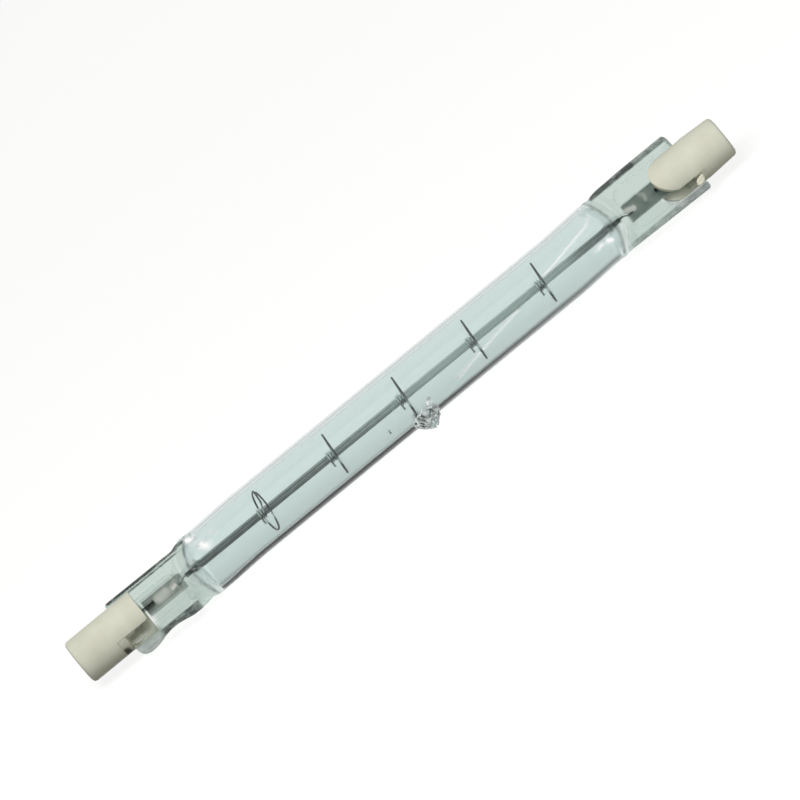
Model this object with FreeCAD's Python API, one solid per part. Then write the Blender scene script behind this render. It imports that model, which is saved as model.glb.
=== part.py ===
import FreeCAD, Part
import math
import os
from collections import namedtuple

# Linear halogen lamp: a quartz tube pinched flat at both ends, a ceramic end on each, lying as it rests.
# Sizes are in millimetres. The lamp lies along X, its right end is towards +X, and z is 0 at the surface
# that it lies on. A roll is an angle in degrees about the lamp's axis, from straight down towards -Y.
# Across a press seal, u runs from the middle to the lower edge, and w out of its front face.

# Lamp
lamp_length = 117.6
contact_depth = 1.7

# Quartz tube
tube_r = 4.8
tube_wall = 0.65
dome_depth = 2.1
bend_length = 8.0

# Melted exhaust tip, at the middle of the tube
tip_x = 1.45
tip_height = 2.2
tip_ball_r = 0.9
tip_flank_angle = 36.0
tip_flank_r = 1.6
tip_base_r = 2.5
tip_foot_in = 0.32
tip_foot_down = 0.55
tip_channel_r = 1.15
tip_channel_end_r = 0.3
tip_wall = 0.8

# Press seals
press_half_thickness = 1.6
press_edge_fillet = 1.1
recess_depth = 0.45
bead_width = 0.9
recess_start = 2.0
recess_corner_r = 2.0
shoulder_start = -2.3
shoulder_length = 6.0
shoulder_end_width = 4.1
shoulder_end_sunk = 0.15
press_start = -2.4
edge_end = 16.0

# Foils and leads
foil_width = 3.1
foil_length = 6.8
foil_thickness = 0.05
foil_start_left = 1.65
foil_start_right = 2.2
outer_lead_r = 0.275
outer_lead_overlap = 1.6
inner_rod_fit = 0.08
inner_rod_in_coil = 3.7
inner_rod_in_glass = 1.05
inner_wire_r = 0.125
inner_wire_overlap = 1.0
inner_wire_sway = 0.28
# Bends of the inner wire as shares of its length, its sway and its height over the foil
inner_wire_bends = [(0.2, -0.5, 0.3), (0.4, -0.2, 0.8), (0.6, 0.7, 1.0), (0.8, 1.0, 1.0)]
glass_fit = 0.02

# Filament
filament_r = 0.6
filament_wire_d = 0.16
filament_end_gap = 0.2

# Filament supports
support_count = 5
support_mid_x = 0.6
support_pitch = 12.7
support_wire_r = 0.14
support_ring_gap = 0.95
support_ring_angle = 338.0
support_ring_lap = 6.0
support_leg_bends = (0.6, 0.93)
support_coil_turns = 2
support_coil_pitch = 0.39
support_fit = 0.03
support_tail = 1.5
support_lean = 5.0
support_turn = 1.5
support_first_turn = 13.0
support_roll_from_tip = -27.0

# Ceramic ends
cap_r = 3.5
cap_bevel = 0.5
cap_bevel_bulge = 0.3
slot_fit = 0.2
tongue_margin = 0.2
recess_r = 2.5
contact_r = 1.9
contact_thickness = 0.6
contact_spigot_r = 0.7
contact_spigot_length = 1.4
contact_dish_r = 1.2
contact_dish_depth = 0.15
contact_fit = 0.1
lead_fit = 0.03
lead_end_cover = 0.25

# Cement
cement_margin = 0.4
cement_inset = 1.2

# Fineness of the forms
wire_sides = 5
coil_corners = 8
ring_corners = 18
section_points = 12
shoulder_steps = 6
dome_steps = 4
overrun = 1.0
same_place = 0.5
no_rise = 0.001

# One end of the lamp. Lengths along the lamp are measured outwards from the lamp's middle or, for the edges of
# the seal, from the end of the gas space. The edges are (length, reach from the axis).
End = namedtuple("End", [
    "name", "side", "roll_from_tip", "shift", "cap_solid", "slot_gap", "press_length", "end_slant",
    "upper_corner_r", "lower_corner_r", "upper_edge", "lower_edge", "foil_start", "tongue_overlap",
    "tongue_round", "cap_taper",
])

left_end = End(
    name="left", side=-1, roll_from_tip=11.0, shift=0.3, cap_solid=6.1, slot_gap=1.5, press_length=12.95,
    end_slant=0.0, upper_corner_r=0.6, lower_corner_r=1.6,
    upper_edge=[(press_start, 4.3), (edge_end, 4.55)],
    lower_edge=[(press_start, 4.6), (2.6, 5.1), (6.8, 4.62), (11.1, 5.6), (edge_end, 5.2)],
    foil_start=foil_start_left, tongue_overlap=4.05, tongue_round=0.8, cap_taper=0.0,
)
right_end = End(
    name="right", side=1, roll_from_tip=-5.0, shift=-0.3, cap_solid=5.3, slot_gap=0.85, press_length=13.75,
    end_slant=6.3, upper_corner_r=0.7, lower_corner_r=0.4,
    upper_edge=[(press_start, 4.6), (4.0, 5.2), (edge_end, 5.2)],
    lower_edge=[(press_start, 4.35), (edge_end, 4.75)],
    foil_start=foil_start_right, tongue_overlap=6.05, tongue_round=4.0, cap_taper=0.25,
)

# Derived sizes
bore_r = tube_r - tube_wall
press_flat_half_thickness = press_half_thickness - recess_depth
shoulder_end_thickness = press_flat_half_thickness - shoulder_end_sunk
tip_ball_centre = tube_r + tip_height - tip_ball_r
tip_roll = math.degrees(math.acos((tube_r - tip_ball_r) / tip_ball_centre))
view_down_roll = tip_roll + support_roll_from_tip
filament_bore_r = filament_r - filament_wire_d
inner_rod_r = filament_bore_r - inner_rod_fit
support_ring_r = bore_r - support_ring_gap
slot_half_thickness = press_half_thickness + slot_fit
tongue_half_width = math.sqrt(cap_r ** 2 - slot_half_thickness ** 2)
cap_bore_r = contact_spigot_r + contact_fit
foil_w = -outer_lead_r - foil_thickness / 2
pocket_r = contact_r + contact_fit
seat_depth = contact_depth + contact_thickness
axis = FreeCAD.Vector(1, 0, 0)
backwards = FreeCAD.Vector(0, 1, 0)
upwards = FreeCAD.Vector(0, 0, 1)
origin = FreeCAD.Vector(0, 0, 0)


def slot_bottom(end):
    """Length from the lamp's middle to the bottom of the ceramic's slot."""
    return lamp_length / 2 - end.cap_solid


def glass_end(end):
    """Length from the lamp's middle to the end of the quartz, on the axis."""
    return slot_bottom(end) - end.slot_gap


def cavity_end(end):
    """Length from the lamp's middle to the end of the gas space."""
    return glass_end(end) - end.press_length


def press_roll(end):
    """Roll of the lower edge of the end's press seal."""
    return tip_roll + end.roll_from_tip


def point(length, u=0.0, w=0.0):
    """A point of an end before it is turned: length along the lamp, u towards the lower edge, w to the front."""
    return FreeCAD.Vector(length, -w, -u)


def turned(shape, end):
    """Turn a shape built along +X to the end's roll and side of the lamp."""
    out = shape.copy()
    if end.side < 0:
        out = out.mirror(origin, axis)
    out.rotate(origin, axis, -press_roll(end))
    return out


def extruded(edges, vector):
    """Solid from the closed outline that the edges make."""
    return Part.Face(Part.Wire(Part.__sortEdges__(edges))).extrude(vector)


def line(start, finish):
    """Straight edge."""
    return Part.LineSegment(start, finish).toShape()


def swell(start, finish):
    """Two equal arcs that lead smoothly from one crest or hollow of an edge to the next, or a level line."""
    run = abs(finish.x - start.x)
    rise = finish.z - start.z
    if abs(rise) < no_rise:
        return [line(start, finish)]
    radius = (run ** 2 + rise ** 2) / (4 * rise)
    half_turn = math.atan(rise / run)
    step = FreeCAD.Vector(radius * math.sin(half_turn), 0, radius * (1 - math.cos(half_turn)))
    middle = (start + finish) / 2
    return [
        Part.Arc(start, start + step, middle).toShape(),
        Part.Arc(middle, finish - step, finish).toShape(),
    ]


def edge_along(points):
    """Edges through the points: a straight line through two, or crests and hollows through more."""
    if len(points) == 2:
        return [line(*points)]
    return [arc for start, finish in zip(points, points[1:]) for arc in swell(start, finish)]


def rod(x_from, x_to, radius):
    """Round rod on the axis."""
    return Part.makeCylinder(radius, x_to - x_from, FreeCAD.Vector(x_from, 0, 0), axis)


def slab(x_from, x_to, u_from, u_to, w_from, w_to):
    """Rectangular block in an end's own directions."""
    return Part.makeBox(x_to - x_from, w_to - w_from, u_to - u_from, point(x_from, u_to, w_to))


def revolved(outline):
    """Solid of revolution about the axis from the (length, radius) corners of its half outline."""
    corners = [point(length, -radius) for length, radius in outline]
    return Part.Face(Part.makePolygon(corners + corners[:1])).revolve(origin, axis, 360)


def wire_along(points, radius, beside):
    """Thin wire through the points, with flat sides so that many bends keep few faces, and mitred corners.

    Its sides start square to beside, a direction that the wire's first stretch doesn't follow.
    """
    across = beside
    sections = []
    for i, place in enumerate(points):
        ahead = points[min(i + 1, len(points) - 1)]
        behind = points[max(i - 1, 0)]
        heading = (ahead - behind).normalize()
        across = (across - heading * across.dot(heading)).normalize()
        other = heading.cross(across)
        corners = []
        for k in range(wire_sides + 1):
            angle = 2 * math.pi * k / wire_sides
            corners.append(place + across * (radius * math.cos(angle)) + other * (radius * math.sin(angle)))
        sections.append(Part.makePolygon(corners))
    return Part.makeLoft(sections, True, True)


# Quartz envelope

def section(length, half_width, half_thickness, squareness, shift):
    """Closed curve across the tube: round at squareness 2, and nearer to a rectangle above that."""
    points = []
    for i in range(section_points):
        angle = 2 * math.pi * i / section_points
        c = math.cos(angle)
        s = math.sin(angle)
        k = (abs(c) ** squareness + abs(s) ** squareness) ** (-1 / squareness)
        points.append(point(length, half_width * k * c + shift, half_thickness * k * s))
    curve = Part.BSplineCurve()
    shares = [i / section_points for i in range(section_points + 1)]
    curve.interpolate(Points=points, PeriodicFlag=True, Parameters=shares)
    return Part.Wire([curve.toShape()])


def eased(share):
    """Smooth step from 0 to 1."""
    return (1 - math.cos(math.pi * share)) / 2


def ring_at(length):
    """True circle of the tube's outside, started where a section starts."""
    circle = Part.makeCircle(tube_r, point(length), axis)
    circle.rotate(point(length), axis, -90)
    return Part.Wire([circle])


def bend(end):
    """Round stretch of the tube that eases over to the seal's centre line."""
    near = ring_at(bend_from(end))
    far = section(bend_from(end) + bend_length, tube_r, tube_r, 2, end.shift)
    return Part.makeLoft([near, far], True, True)


def shoulder(end):
    """Stretch of the tube that closes from round to flat, in a few bands."""
    start = cavity_end(end) + shoulder_start
    sections = []
    for i in range(shoulder_steps + 1):
        share = i / shoulder_steps
        half_width = tube_r + (shoulder_end_width - tube_r) * eased(share)
        half_thickness = tube_r + (shoulder_end_thickness - tube_r) * eased(share)
        sections.append(section(start + shoulder_length * share, half_width, half_thickness,
                                2 + share, end.shift))
    return Part.makeLoft(sections, True, True)


def press(end):
    """Flat of the seal: face-on outline with rounded long edges, cut to length at the glass end."""
    base = cavity_end(end)
    upper = [point(base + x, -u, -press_half_thickness) for x, u in end.upper_edge]
    lower = [point(base + x, u, -press_half_thickness) for x, u in end.lower_edge]
    outline = edge_along(upper) + edge_along(lower) + [line(upper[-1], lower[-1]), line(lower[0], upper[0])]
    body = extruded(outline, point(0, 0, 2 * press_half_thickness))
    long_edges = [
        edge for edge in body.Edges
        if edge.BoundBox.XLength > same_place and edge.BoundBox.YLength < same_place
    ]
    body = body.makeFillet(press_edge_fillet, long_edges)
    upper_reach = max(u for x, u in end.upper_edge)
    lower_reach = max(u for x, u in end.lower_edge)
    trim = slab(base + press_start, glass_end(end), -upper_reach, lower_reach,
                -press_half_thickness, press_half_thickness)
    for u, radius in ((-upper_reach, end.upper_corner_r), (lower_reach, end.lower_corner_r)):
        corner = [
            edge for edge in trim.Edges
            if (edge.CenterOfMass - point(glass_end(end), u)).Length < same_place
        ]
        trim = trim.makeFillet(radius, corner)
    trim.rotate(point(glass_end(end)), backwards, end.end_slant)
    return body.common(trim)


def recesses(end):
    """Cutters for the sunk flats on both faces, which leave a bead along each long edge."""
    base = cavity_end(end)
    upper = min(u for x, u in end.upper_edge if x > recess_start) - bead_width
    lower = min(u for x, u in end.lower_edge if x > recess_start) - bead_width
    cutters = []
    for face in (1, -1):
        near, far = sorted((face * press_flat_half_thickness, face * tube_r))
        block = slab(base + recess_start, glass_end(end) + end.slot_gap, -upper, lower, near, far)
        inner = [
            edge for edge in block.Edges
            if edge.BoundBox.YLength > same_place and edge.BoundBox.XMax < base + recess_start + same_place
        ]
        cutters.append(block.makeFillet(recess_corner_r, inner))
    return cutters


def tip_outside():
    """Melted tip: a foot that flares in two cones, a straight flank and a round end, pointing straight down."""
    angle = math.radians(tip_flank_angle)
    tangent_r = tip_ball_r * math.cos(angle)
    tangent_h = tip_ball_centre + tip_ball_r * math.sin(angle)
    crown = (tip_ball_r * math.cos((angle + math.pi / 2) / 2),
             tip_ball_centre + tip_ball_r * math.sin((angle + math.pi / 2) / 2))
    flank_h = tangent_h - (tip_flank_r - tangent_r) / math.tan(angle)
    base_h = math.sqrt(tube_r ** 2 - tip_base_r ** 2)
    foot_middle = (tip_flank_r + tip_foot_in * (tip_base_r - tip_flank_r),
                   flank_h - tip_foot_down * (flank_h - base_h))
    corner = (tangent_r, tangent_h)
    flank = (tip_flank_r, flank_h)
    foot = (tip_base_r, base_h)

    def at(radius, height):
        return FreeCAD.Vector(radius, 0, -height)

    top = at(0, tip_ball_centre + tip_ball_r)
    bottom = at(0, bore_r / 2)
    rim = at(tip_base_r, bore_r / 2)
    edges = [
        Part.Arc(top, at(*crown), at(*corner)).toShape(),
        line(at(*corner), at(*flank)),
        line(at(*flank), at(*foot_middle)),
        line(at(*foot_middle), at(*foot)),
        line(at(*foot), rim),
        line(rim, bottom),
        line(bottom, top),
    ]
    return Part.Face(Part.Wire(edges)).revolve(origin, upwards, 360)


def tip_channel():
    """Hollow that the exhaust tube left in the tip, narrowing to a closed end."""
    start = bore_r / 2
    finish = tube_r + tip_height - tip_wall
    return Part.makeCone(tip_channel_r, tip_channel_end_r, finish - start, upwards * -start, upwards * -1)


def at_tip(shape):
    """Put a shape built about straight down at the tip's place and roll."""
    shape.rotate(origin, axis, -tip_roll)
    shape.translate(FreeCAD.Vector(tip_x, 0, 0))
    return shape


def dome(start, shift):
    """Half an ellipsoid, in a few cones, that closes the bore."""
    outline = [(start, 0)]
    for i in range(dome_steps):
        angle = math.pi / 2 * i / dome_steps
        outline.append((start + dome_depth * math.sin(angle), bore_r * math.cos(angle)))
    outline.append((start + dome_depth, 0))
    body = revolved(outline)
    body.translate(point(0, shift))
    return body


def cavity():
    """Gas space: the tube's bore, eased over to each seal's centre line, with domed ends."""
    space = rod(-bend_from(left_end), bend_from(right_end), bore_r)
    for end in (left_end, right_end):
        dome_from = cavity_end(end) - dome_depth
        near = Part.Wire([Part.makeCircle(bore_r, point(bend_from(end)), axis)])
        far = Part.Wire([Part.makeCircle(bore_r, point(dome_from, end.shift), axis)])
        run = Part.makeLoft([near, far], True, True)
        space = space.fuse([turned(run, end), turned(dome(dome_from, end.shift), end)])
    return space.fuse(at_tip(tip_channel()))


def bend_from(end):
    """Length from the lamp's middle at which the tube starts to ease over."""
    return cavity_end(end) + shoulder_start - bend_length


def quartz_outside():
    """The quartz piece's outer form, filled."""
    outside = rod(-bend_from(left_end), bend_from(right_end), tube_r)
    for end in (left_end, right_end):
        seal = bend(end).fuse(shoulder(end)).fuse(press(end)).cut(recesses(end))
        outside = outside.fuse(turned(seal, end))
    return outside.fuse(at_tip(tip_outside()))


# Filament and its supports

def filament():
    """The coil's outer form: a thin walled tube of the coil's own diameters."""
    start = -cavity_end(left_end) + filament_end_gap
    finish = cavity_end(right_end) - filament_end_gap
    return rod(start, finish, filament_r).cut(rod(start - overrun, finish + overrun, filament_bore_r))


def support_path(x_mid, turn):
    """Corners of a support's centre line: tail, grip coil round the filament, leg and ring."""
    coil_r = (filament_r + support_fit + support_wire_r) / math.cos(math.pi / coil_corners)
    coil_start = x_mid - support_coil_pitch * support_coil_turns - support_wire_r * 2
    lean = math.tan(math.radians(support_lean))
    tilt = math.tan(math.radians(turn))

    def at(x, near, down):
        roll = math.radians(view_down_roll)
        return FreeCAD.Vector(x, -near * math.cos(roll) - down * math.sin(roll),
                              near * math.sin(roll) - down * math.cos(roll))

    def in_ring(near, down):
        return at(x_mid - lean * down + tilt * near, near, down)

    points = [at(coil_start, coil_r, support_tail)]
    for i in range(coil_corners * support_coil_turns + 1):
        angle = 2 * math.pi * i / coil_corners
        x = coil_start + support_coil_pitch * i / coil_corners
        points.append(at(x, coil_r * math.cos(angle), -coil_r * math.sin(angle)))
    ring_start = math.asin(coil_r / support_ring_r)
    leg_top = support_ring_r * math.cos(ring_start)
    points.extend(in_ring(coil_r, -leg_top * share) for share in support_leg_bends)
    for i in range(ring_corners + 1):
        angle = ring_start - math.radians(support_ring_lap + support_ring_angle * i / ring_corners)
        points.append(in_ring(support_ring_r * math.sin(angle), -support_ring_r * math.cos(angle)))
    return points


# Foils and leads

def sealing_foil(end, fit=0.0):
    """Foil in the seal."""
    start = cavity_end(end) + end.foil_start
    sheet = slab(start - fit, start + foil_length + fit, -foil_width / 2 - fit, foil_width / 2 + fit,
                 foil_w - foil_thickness / 2 - fit, foil_w + foil_thickness / 2 + fit)
    return turned(sheet, end)


def inner_lead(end, fit=0.0):
    """Rod in the filament's end and a thin wire that sways over to the foil."""
    base = cavity_end(end)
    rod_end = base + inner_rod_in_glass
    wire_end = base + end.foil_start + inner_wire_overlap
    on_foil = foil_w + foil_thickness / 2 + inner_wire_r
    reach = wire_end - rod_end
    points = [point(rod_end - inner_wire_r)]
    for along, sway, rise in inner_wire_bends:
        points.append(point(rod_end + reach * along, inner_wire_sway * sway, on_foil * rise))
    points.append(point(wire_end + fit, inner_wire_sway, on_foil))
    wire = wire_along(points, inner_wire_r + fit, upwards)
    thick = rod(base - inner_rod_in_coil - fit, rod_end + fit, inner_rod_r + fit)
    return turned(thick.fuse(wire), end)


def outer_lead(end, fit=0.0):
    """Wire from the foil through the ceramic to the contact."""
    start = cavity_end(end) + end.foil_start + foil_length - outer_lead_overlap
    finish = lamp_length / 2 - contact_depth - lead_end_cover
    return turned(rod(start - fit, finish + fit, outer_lead_r + fit), end)


# Ceramic ends, contacts and cement

def ceramic_cap(end):
    """Slotted ceramic: a round body with two tongues, a hole for the lead and a recess over the contact."""
    outer = lamp_length / 2
    tongue_tip = glass_end(end) - end.tongue_overlap
    slot = slot_bottom(end)
    end_r = cap_r - end.cap_taper
    bulge = cap_bevel * cap_bevel_bulge
    body = revolved([
        (tongue_tip, 0),
        (tongue_tip, cap_r),
        (slot, cap_r),
        (outer - cap_bevel, end_r),
        (outer - bulge, end_r - bulge),
        (outer, end_r - cap_bevel),
        (outer, 0),
    ])
    body = body.cut(slab(tongue_tip - overrun, slot, -2 * cap_r, 2 * cap_r,
                         -slot_half_thickness, slot_half_thickness))
    body = body.common(tongue_outline(end, tongue_tip))
    body = body.cut(rod(slot - overrun, outer - seat_depth, cap_bore_r))
    body = body.cut(rod(outer - seat_depth, outer, pocket_r))
    body = body.cut(rod(outer - contact_depth, outer + overrun, recess_r))
    return turned(body, end)


def tongue_outline(end, tongue_tip):
    """Block that gives the tongues their face-on outline: rounded corners, or one round end."""
    half_width = tongue_half_width + tongue_margin
    far = lamp_length / 2 + overrun
    wide = slab(tongue_tip + end.tongue_round, far, -2 * cap_r, 2 * cap_r, -2 * cap_r, 2 * cap_r)
    if end.tongue_round < half_width:
        nose = slab(tongue_tip, tongue_tip + 2 * half_width, -half_width, half_width, -2 * cap_r, 2 * cap_r)
        corners = [
            edge for edge in nose.Edges
            if edge.BoundBox.YLength > cap_r and edge.BoundBox.XMax < tongue_tip + same_place
        ]
        return wide.fuse(nose.makeFillet(end.tongue_round, corners))
    middle = tongue_tip + end.tongue_round
    oval = Part.Ellipse(point(tongue_tip, 0, -2 * cap_r), point(middle, half_width, -2 * cap_r),
                        point(middle, 0, -2 * cap_r))
    return wide.fuse(Part.Face(Part.Wire([oval.toShape()])).extrude(point(0, 0, 4 * cap_r)))


def contact(end):
    """Contact: a dished disc with a spigot that takes the end of the lead."""
    face = lamp_length / 2 - contact_depth
    seat = lamp_length / 2 - seat_depth
    spigot = seat - contact_spigot_length
    hole_end = face - lead_end_cover + lead_fit
    body = revolved([
        (hole_end, 0),
        (face - contact_dish_depth, 0),
        (face - contact_dish_depth, contact_dish_r),
        (face, contact_dish_r + contact_dish_depth),
        (face, contact_r),
        (seat, contact_r),
        (seat, contact_spigot_r),
        (spigot, contact_spigot_r),
        (spigot, outer_lead_r + lead_fit),
        (hole_end, outer_lead_r + lead_fit),
    ])
    return turned(body, end)


def cement(end, quartz, cap):
    """Cement that fills the slot round the glass end, short of the tongues' edges, and plugs its bottom."""
    start = glass_end(end) - end.tongue_overlap + max(cement_inset, end.tongue_round)
    half_width = tongue_half_width - cement_margin
    block = slab(start, slot_bottom(end), -half_width, half_width, -slot_half_thickness, slot_half_thickness)
    plug = rod(glass_end(end) - end.slot_gap, slot_bottom(end), cap_r - cement_margin)
    body = turned(block.fuse(plug), end)
    return body.cut([quartz, cap, outer_lead(end, lead_fit)])


# The lamp

def build():
    """All pieces by name, about the lamp's axis. The quartz has a clearance cut round the metal buried in it."""
    pieces = {}
    buried = []
    for end in (left_end, right_end):
        for make in (sealing_foil, inner_lead, outer_lead):
            buried.append(make(end, glass_fit))
            pieces[make.__name__ + "_" + end.name] = make(end)
    quartz = quartz_outside()
    pieces["quartz_envelope"] = quartz.cut(cavity()).cut(buried)
    pieces["filament"] = filament()
    for i in range(support_count):
        x = support_mid_x + support_pitch * (i - (support_count - 1) / 2)
        turn = support_first_turn if i == 0 else support_turn
        pieces["filament_support_" + str(i + 1)] = wire_along(support_path(x, turn), support_wire_r, axis)
    for end in (left_end, right_end):
        cap = ceramic_cap(end)
        pieces["ceramic_cap_" + end.name] = cap
        pieces["contact_" + end.name] = contact(end)
        pieces["cement_" + end.name] = cement(end, quartz, cap)
    return pieces


os.makedirs("parts", exist_ok=True)
lamp = build()
box = Part.Compound(list(lamp.values())).optimalBoundingBox(False, False)
seat = FreeCAD.Vector(-box.Center.x, -box.Center.y, -box.ZMin)
for name, shape in lamp.items():
    shape.translate(seat)
    shape.exportStep("parts/" + name + ".step")
    print(name, round(shape.Volume, 3), "mm3")
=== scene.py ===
import logging
from dataclasses import dataclass
from enum import Enum
from math import asin, cos, degrees, hypot, inf, pi, radians, sin, sqrt, tan
from typing import Any, Callable, Iterable, Sequence, Union

import bmesh
import bpy
import numpy as np
from bpy.types import ID, Material, Mesh, Node, NodeSocket, NodeTree, Object
from mathutils import Matrix, Vector, noise


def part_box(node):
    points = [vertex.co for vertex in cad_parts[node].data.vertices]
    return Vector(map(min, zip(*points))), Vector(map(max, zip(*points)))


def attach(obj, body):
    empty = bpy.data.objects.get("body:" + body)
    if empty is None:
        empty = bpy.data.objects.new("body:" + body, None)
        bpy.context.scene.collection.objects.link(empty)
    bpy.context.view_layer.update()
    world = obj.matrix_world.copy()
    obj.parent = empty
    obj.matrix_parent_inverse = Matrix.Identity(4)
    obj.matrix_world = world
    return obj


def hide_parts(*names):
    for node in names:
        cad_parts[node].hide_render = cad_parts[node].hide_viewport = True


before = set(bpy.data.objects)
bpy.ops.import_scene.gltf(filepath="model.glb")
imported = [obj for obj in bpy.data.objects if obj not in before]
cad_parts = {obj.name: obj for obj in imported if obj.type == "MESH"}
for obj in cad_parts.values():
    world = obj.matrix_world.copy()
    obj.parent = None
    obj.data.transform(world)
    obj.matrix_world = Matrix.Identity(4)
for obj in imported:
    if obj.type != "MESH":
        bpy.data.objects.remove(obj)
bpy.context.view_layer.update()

LOG = logging.getLogger("halogen_lamp")
MM = 0.001  # metres
ELEVATION = 23.26  # degrees from which the photograph looks down
ALONG = Vector((1, 0, 0))
UP = Vector((0, 0, 1))

Point = Sequence[float]
Form = tuple[list[Point], list[list[int]]]  # corners in millimetres, and faces as corner numbers
Pair = tuple[float, float]
Triple = tuple[float, float, float]
Source = Union[Node, NodeSocket]


# Helpers

def linear(colour: str) -> tuple[float, float, float, float]:
    """Turn an sRGB colour into the linear values that shaders take.

    Args:
        colour: The colour as six hex digits after a hash sign.

    Returns:
        Linear red, green and blue, and an alpha of 1.
    """
    channels = [int(colour[i:i + 2], 16) / 255 for i in (1, 3, 5)]
    values = [c / 12.92 if c <= 0.04045 else ((c + 0.055) / 1.055) ** 2.4 for c in channels]
    return (*values, 1.0)


def add_node(tree: NodeTree, kind: str, settings: dict[Any, Any] | None = None,
             links: dict[Any, Source] | None = None) -> Node:
    """Add a node with its settings and links.

    Args:
        tree: The node tree that takes the node.
        kind: The node's type name.
        settings: Values by the name or number of an input, or by the name of a property of the node.
        links: Sockets, or nodes for their first socket, by the name or number of the input that each one feeds.

    Returns:
        The new node.
    """
    node = tree.nodes.new(kind)
    for key, value in (settings or {}).items():
        if isinstance(key, int) or key in node.inputs:
            node.inputs[key].default_value = value
        else:
            setattr(node, key, value)
    for key, source in (links or {}).items():
        tree.links.new(source.outputs[0] if isinstance(source, Node) else source, node.inputs[key])
    return node


def new_material(name: str) -> tuple[Material, NodeTree]:
    """Make an empty node material.

    Args:
        name: The material's name.

    Returns:
        The material and its node tree, which holds no nodes yet.
    """
    material = bpy.data.materials.new(name)
    material.use_nodes = True
    material.node_tree.nodes.clear()
    return material, material.node_tree


def pattern(tree: NodeTree, size: float, detail: float, stretch: float = 1.0) -> Node:
    """Add a soft random pattern that is fixed to the piece.

    Args:
        tree: The node tree that takes it.
        size: How large its patches are, in millimetres.
        detail: How many finer layers it has.
        stretch: What its steps along the lamp are multiplied by, so that less than 1 draws it out.

    Returns:
        The pattern's node, which gives from 0 to 1.
    """
    where = add_node(tree, "ShaderNodeTexCoord")
    drawn = add_node(tree, "ShaderNodeMapping", {"Scale": (stretch, 1, 1)}, {"Vector": where.outputs["Object"]})
    return add_node(tree, "ShaderNodeTexNoise", {"Scale": 1 / (size * MM), "Detail": detail}, {"Vector": drawn})


def painted(tree: NodeTree, *names: str) -> list[NodeSocket]:
    """Add the shares that a mesh gives at its corners.

    Args:
        tree: The node tree that takes them.
        names: The shares' names.

    Returns:
        A socket for each name. It gives 0 on a mesh without that share.
    """
    return [add_node(tree, "ShaderNodeAttribute", {"attribute_name": name}).outputs["Fac"] for name in names]


def smooth_step(value: np.ndarray | float, start: float, end: float) -> Any:
    """Rise smoothly from 0 to 1 between two values.

    Args:
        value: Where to read the curve.
        start: The value up to which it is 0.
        end: The value from which it is 1.

    Returns:
        The curve's height, from 0 to 1.
    """
    share = (value - start) / (end - start)
    share = np.clip(share, 0, 1) if isinstance(share, np.ndarray) else min(max(share, 0.0), 1.0)
    return share * share * (3 - 2 * share)


def along_edge(points: Sequence[Pair], value: float) -> float:
    """Read a long edge, straight between two points, or level at each of more with two arcs from one to the next.

    Args:
        points: The (x, y) points in order of x.
        value: The x at which to read.

    Returns:
        The edge's y there.
    """
    at = min(max(value, points[0][0]), points[-1][0])
    i = max(k for k in range(len(points) - 1) if points[k][0] <= at)
    (x_from, y_from), (x_to, y_to) = points[i], points[i + 1]
    share = (at - x_from) / (x_to - x_from)
    if len(points) > 2:
        share = 2 * share ** 2 if share < 0.5 else 1 - 2 * (1 - share) ** 2
    return y_from + (y_to - y_from) * share


def steps(*stretches: Triple) -> list[float]:
    """Give even steps through some stretches.

    Args:
        stretches: The start and end of each stretch, and about how far apart its values are.

    Returns:
        The values, each stretch's without its end.
    """
    return [value for start, end, size in stretches
            for value in np.linspace(start, end, max(2, round(abs(end - start) / size)), endpoint=False)]


def soft_band(value: float, start: float, end: float, soft: float) -> float:
    """Give 1 between two values and 0 outside them, with soft edges.

    Args:
        value: Where to read.
        start: Where the band starts.
        end: Where it ends.
        soft: How far each edge takes to fade, half of it outside the band.

    Returns:
        The band's height, from 0 to 1.
    """
    rise = smooth_step(value, start - soft / 2, start + soft / 2)
    return rise * (1 - smooth_step(value, end - soft / 2, end + soft / 2))


def waves(place: Vector, layers: Iterable[Pair]) -> float:
    """Add up some layers of noise at a place.

    Args:
        place: Where to read them.
        layers: How fine each layer is, and its height.

    Returns:
        The sum.
    """
    return sum(height * noise.noise(place * fineness) for fineness, height in layers)


def grid_faces(rows: int, columns: int, closed: bool = False, flip: bool = False) -> list[list[int]]:
    """Skin a grid of corners that are numbered row by row.

    Args:
        rows: How many rows there are.
        columns: How many corners each row has.
        closed: Whether each row's last corner meets its first.
        flip: Whether the faces look the other way.

    Returns:
        The faces.
    """
    faces = []
    for low in range(0, (rows - 1) * columns, columns):
        for k in range(columns if closed else columns - 1):
            following = (k + 1) % columns
            face = [low + k, low + following, low + columns + following, low + columns + k]
            faces.append(face[::-1] if flip else face)
    return faces


def merged(*forms: Form) -> Form:
    """Take some forms together as one.

    Args:
        forms: The corners and faces of each.

    Returns:
        The corners and faces of all of them.
    """
    corners: list[Point] = []
    faces: list[list[int]] = []
    for more_corners, more_faces in forms:
        faces += [[len(corners) + i for i in face] for face in more_faces]
        corners += more_corners
    return corners, faces


def swept_wire(path: Sequence[Vector], radius: float, sides: int, beside: Vector) -> Form:
    """Sweep a round wire along a path, with flat ends.

    Args:
        path: Points of the wire's centre line.
        radius: The wire's radius.
        sides: How many flats go round it.
        beside: A direction that the path's first stretch doesn't follow.

    Returns:
        The wire's form.
    """
    corners: list[Point] = []
    across = beside.copy()
    for i, place in enumerate(path):
        heading = (path[min(i + 1, len(path) - 1)] - path[max(i - 1, 0)]).normalized()
        across = (across - heading * across.dot(heading)).normalized()
        other = heading.cross(across)
        for angle in np.arange(sides) * 2 * pi / sides:
            corners.append(place + (across * cos(angle) + other * sin(angle)) * radius)
    first, last = list(range(sides))[::-1], list(range(len(corners) - sides, len(corners)))
    return corners, grid_faces(len(path), sides, closed=True) + [first, last]


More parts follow.
